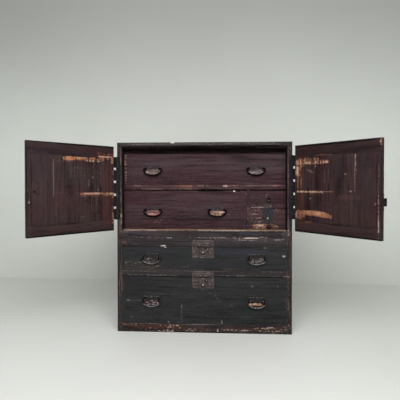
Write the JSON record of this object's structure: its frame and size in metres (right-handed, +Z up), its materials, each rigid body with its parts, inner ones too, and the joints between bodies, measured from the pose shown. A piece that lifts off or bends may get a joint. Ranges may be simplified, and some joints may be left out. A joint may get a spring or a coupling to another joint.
{
  "type": "clothing chest",
  "caption": "Two-case clothing chest: double doors over inner drawers, above wide drawers, with iron bails, ring pulls, locks and long hinges.",
  "frame": {"origin": "on the floor under the middle of the front face of the case: the front bottom edge of the base rail, midway between its ends", "axes": "+X to the right of someone facing the chest, +Y from the front to the back, +Z up"},
  "size_m": [1.5531, 0.7814, 0.995],
  "materials": {
    "black_lacquered_wood": "worn black lacquer over softwood, edges rubbed to brown and grey",
    "red_brown_stained_wood": "worn red-brown stain over open grain, with bare scratches",
    "plain_paulownia_wood": "plain sawn and planed, dry and a little dusty",
    "black_iron": "hand-forged iron, blackened, with rust on its edges"
  },
  "bodies": {
    "case": {"upper_top_board": "black_lacquered_wood", "upper_left_side": "black_lacquered_wood", "upper_right_side": "black_lacquered_wood", "upper_bottom_board": "plain_paulownia_wood", "upper_sill_rail": "black_lacquered_wood", "door_stop_strip": "black_lacquered_wood", "inner_rails": "red_brown_stained_wood", "inner_dust_boards": "plain_paulownia_wood", "inner_divider": "red_brown_stained_wood", "lower_top_board": "black_lacquered_wood", "lower_left_side": "black_lacquered_wood", "lower_right_side": "black_lacquered_wood", "lower_front_rails": "black_lacquered_wood", "lower_dust_board": "plain_paulownia_wood", "lower_bottom_board": "plain_paulownia_wood", "back_boards": "plain_paulownia_wood", "keeper_plates": "black_iron", "hinge_frame_leaves": "black_iron", "hinge_pins": "black_iron"},
    "left_door": {"left_door_frame": "red_brown_stained_wood", "left_door_panel": "red_brown_stained_wood", "left_hinge_door_leaf": "black_iron", "left_door_catch_plate": "black_iron"},
    "right_door": {"right_door_frame": "red_brown_stained_wood", "right_door_panel": "red_brown_stained_wood", "right_hinge_door_leaf": "black_iron", "right_door_lock_plate": "black_iron"},
    "top_drawer": {"top_drawer_front": "red_brown_stained_wood", "top_drawer_box": "plain_paulownia_wood", "top_drawer_handle_plates": "black_iron"},
    "middle_drawer": {"middle_drawer_front": "red_brown_stained_wood", "middle_drawer_box": "plain_paulownia_wood", "middle_drawer_handle_plates": "black_iron"},
    "small_upper_drawer": {"small_upper_drawer_front": "red_brown_stained_wood", "small_upper_drawer_box": "plain_paulownia_wood", "small_upper_drawer_ring_eye": "black_iron"},
    "small_lower_drawer": {"small_lower_drawer_front": "red_brown_stained_wood", "small_lower_drawer_box": "plain_paulownia_wood", "small_lower_drawer_ironwork": "black_iron"},
    "shallow_drawer": {"shallow_drawer_front": "black_lacquered_wood", "shallow_drawer_box": "plain_paulownia_wood", "shallow_drawer_ironwork": "black_iron"},
    "deep_drawer": {"deep_drawer_front": "black_lacquered_wood", "deep_drawer_box": "plain_paulownia_wood", "deep_drawer_ironwork": "black_iron"},
    "top_drawer_left_bail": {"top_drawer_left_bail": "black_iron"},
    "top_drawer_right_bail": {"top_drawer_right_bail": "black_iron"},
    "middle_drawer_left_bail": {"middle_drawer_left_bail": "black_iron"},
    "middle_drawer_right_bail": {"middle_drawer_right_bail": "black_iron"},
    "shallow_drawer_left_bail": {"shallow_drawer_left_bail": "black_iron"},
    "shallow_drawer_right_bail": {"shallow_drawer_right_bail": "black_iron"},
    "deep_drawer_left_bail": {"deep_drawer_left_bail": "black_iron"},
    "deep_drawer_right_bail": {"deep_drawer_right_bail": "black_iron"},
    "small_upper_drawer_ring": {"small_upper_drawer_ring": "black_iron"},
    "small_lower_drawer_ring": {"small_lower_drawer_ring": "black_iron"},
    "shallow_lock_button": {"shallow_lock_button": "black_iron"},
    "deep_lock_button": {"deep_lock_button": "black_iron"},
    "small_lock_button": {"small_lock_button": "black_iron"}
  },
  "joints": [
    {"name": "left_door_hinge", "type": "hinge", "parent": "case", "child": "left_door", "pos_m": [-0.4571, -0.0026, 0.752], "axis": [0, 0, -1], "range_deg": [-134.3, 110]},
    {"name": "right_door_hinge", "type": "hinge", "parent": "case", "child": "right_door", "pos_m": [0.4571, -0.0026, 0.757], "axis": [0, 0, 1], "range_deg": [-132.8, 110]},
    {"name": "top_drawer_slide", "type": "slide", "parent": "case", "child": "top_drawer", "axis": [0, -1, 0], "range_m": [0, 0.28]},
    {"name": "middle_drawer_slide", "type": "slide", "parent": "case", "child": "middle_drawer", "axis": [0, -1, 0], "range_m": [0, 0.28]},
    {"name": "small_upper_drawer_slide", "type": "slide", "parent": "case", "child": "small_upper_drawer", "axis": [0, -1, 0], "range_m": [0, 0.28]},
    {"name": "small_lower_drawer_slide", "type": "slide", "parent": "case", "child": "small_lower_drawer", "axis": [0, -1, 0], "range_m": [0, 0.28]},
    {"name": "shallow_drawer_slide", "type": "slide", "parent": "case", "child": "shallow_drawer", "axis": [0, -1, 0], "range_m": [0, 0.32]},
    {"name": "deep_drawer_slide", "type": "slide", "parent": "case", "child": "deep_drawer", "axis": [0, -1, 0], "range_m": [0, 0.32]},
    {"name": "top_drawer_left_bail_swing", "type": "hinge", "parent": "top_drawer", "child": "top_drawer_left_bail", "pos_m": [-0.274, 0.037, 0.8595], "axis": [-1, 0, 0], "range_deg": [0, 165]},
    {"name": "top_drawer_right_bail_swing", "type": "hinge", "parent": "top_drawer", "child": "top_drawer_right_bail", "pos_m": [0.274, 0.037, 0.8595], "axis": [-1, 0, 0], "range_deg": [0, 165]},
    {"name": "middle_drawer_left_bail_swing", "type": "hinge", "parent": "middle_drawer", "child": "middle_drawer_left_bail", "pos_m": [-0.274, 0.037, 0.64], "axis": [-1, 0, 0], "range_deg": [0, 165]},
    {"name": "middle_drawer_right_bail_swing", "type": "hinge", "parent": "middle_drawer", "child": "middle_drawer_right_bail", "pos_m": [0.07, 0.037, 0.64], "axis": [-1, 0, 0], "range_deg": [0, 165]},
    {"name": "shallow_drawer_left_bail_swing", "type": "hinge", "parent": "shallow_drawer", "child": "shallow_drawer_left_bail", "pos_m": [-0.274, -0.013, 0.3975], "axis": [-1, 0, 0], "range_deg": [0, 165]},
    {"name": "shallow_drawer_right_bail_swing", "type": "hinge", "parent": "shallow_drawer", "child": "shallow_drawer_right_bail", "pos_m": [0.274, -0.013, 0.3975], "axis": [-1, 0, 0], "range_deg": [0, 165]},
    {"name": "deep_drawer_left_bail_swing", "type": "hinge", "parent": "deep_drawer", "child": "deep_drawer_left_bail", "pos_m": [-0.274, -0.013, 0.1735], "axis": [-1, 0, 0], "range_deg": [0, 165]},
    {"name": "deep_drawer_right_bail_swing", "type": "hinge", "parent": "deep_drawer", "child": "deep_drawer_right_bail", "pos_m": [0.274, -0.013, 0.1735], "axis": [-1, 0, 0], "range_deg": [0, 165]},
    {"name": "small_upper_drawer_ring_swing", "type": "hinge", "parent": "small_upper_drawer", "child": "small_upper_drawer_ring", "pos_m": [0.341, 0.0425, 0.702], "axis": [-1, 0, 0], "range_deg": [0, 165]},
    {"name": "small_lower_drawer_ring_swing", "type": "hinge", "parent": "small_lower_drawer", "child": "small_lower_drawer_ring", "pos_m": [0.341, 0.0425, 0.561], "axis": [-1, 0, 0], "range_deg": [0, 165]},
    {"name": "shallow_lock_button_push", "type": "slide", "parent": "shallow_drawer", "child": "shallow_lock_button", "axis": [0, 1, 0], "range_m": [0, 0.004]},
    {"name": "deep_lock_button_push", "type": "slide", "parent": "deep_drawer", "child": "deep_lock_button", "axis": [0, 1, 0], "range_m": [0, 0.004]},
    {"name": "small_lock_button_push", "type": "slide", "parent": "small_lower_drawer", "child": "small_lock_button", "axis": [0, 1, 0], "range_m": [0, 0.004]}
  ]
}
